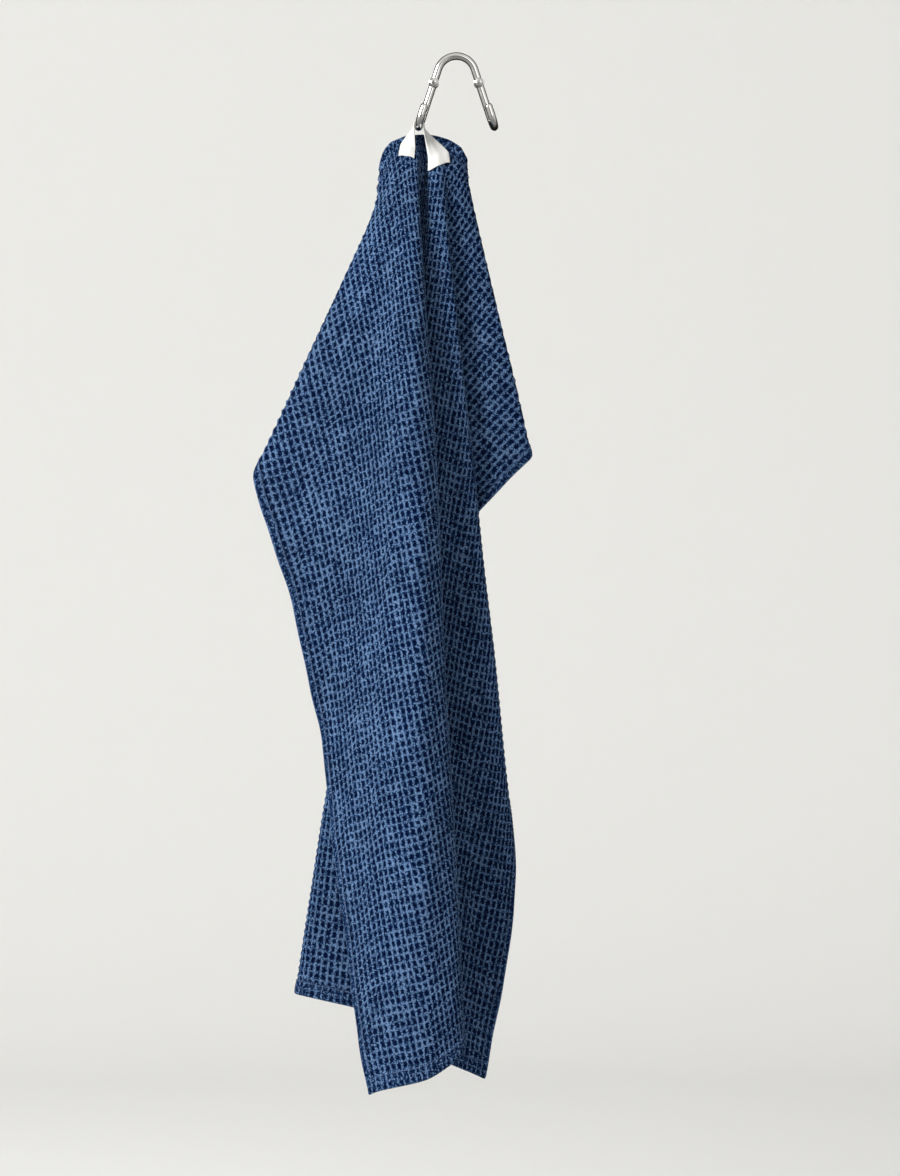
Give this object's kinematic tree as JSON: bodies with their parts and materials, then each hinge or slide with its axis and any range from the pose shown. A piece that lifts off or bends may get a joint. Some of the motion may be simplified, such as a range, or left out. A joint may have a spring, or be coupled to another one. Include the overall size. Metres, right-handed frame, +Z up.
{
  "type": "tea towel on a wall hook",
  "caption": "Waffle cloth tea towel hanging in folds by a tape loop from one J of a bent-rod double wall hook.",
  "frame": {"origin": "on the wall face, midway between the hook's two bosses", "axes": "+X to the right as seen from the room, +Y into the wall, +Z up; the cloth hangs down from the hook's left J"},
  "size_m": [0.2117, 0.092, 0.8115],
  "materials": {
    "blue_cotton": "denim-blue waffle weave, matt",
    "white_tape": "off-white cotton tape, matt",
    "hook_nickel": "polished nickel plate",
    "screw_nickel": "polished nickel plate"
  },
  "bodies": {
    "root": {"towel": "blue_cotton", "tape_loop": "white_tape", "hook": "hook_nickel", "left_screw": "screw_nickel", "right_screw": "screw_nickel"}
  },
  "joints": []
}
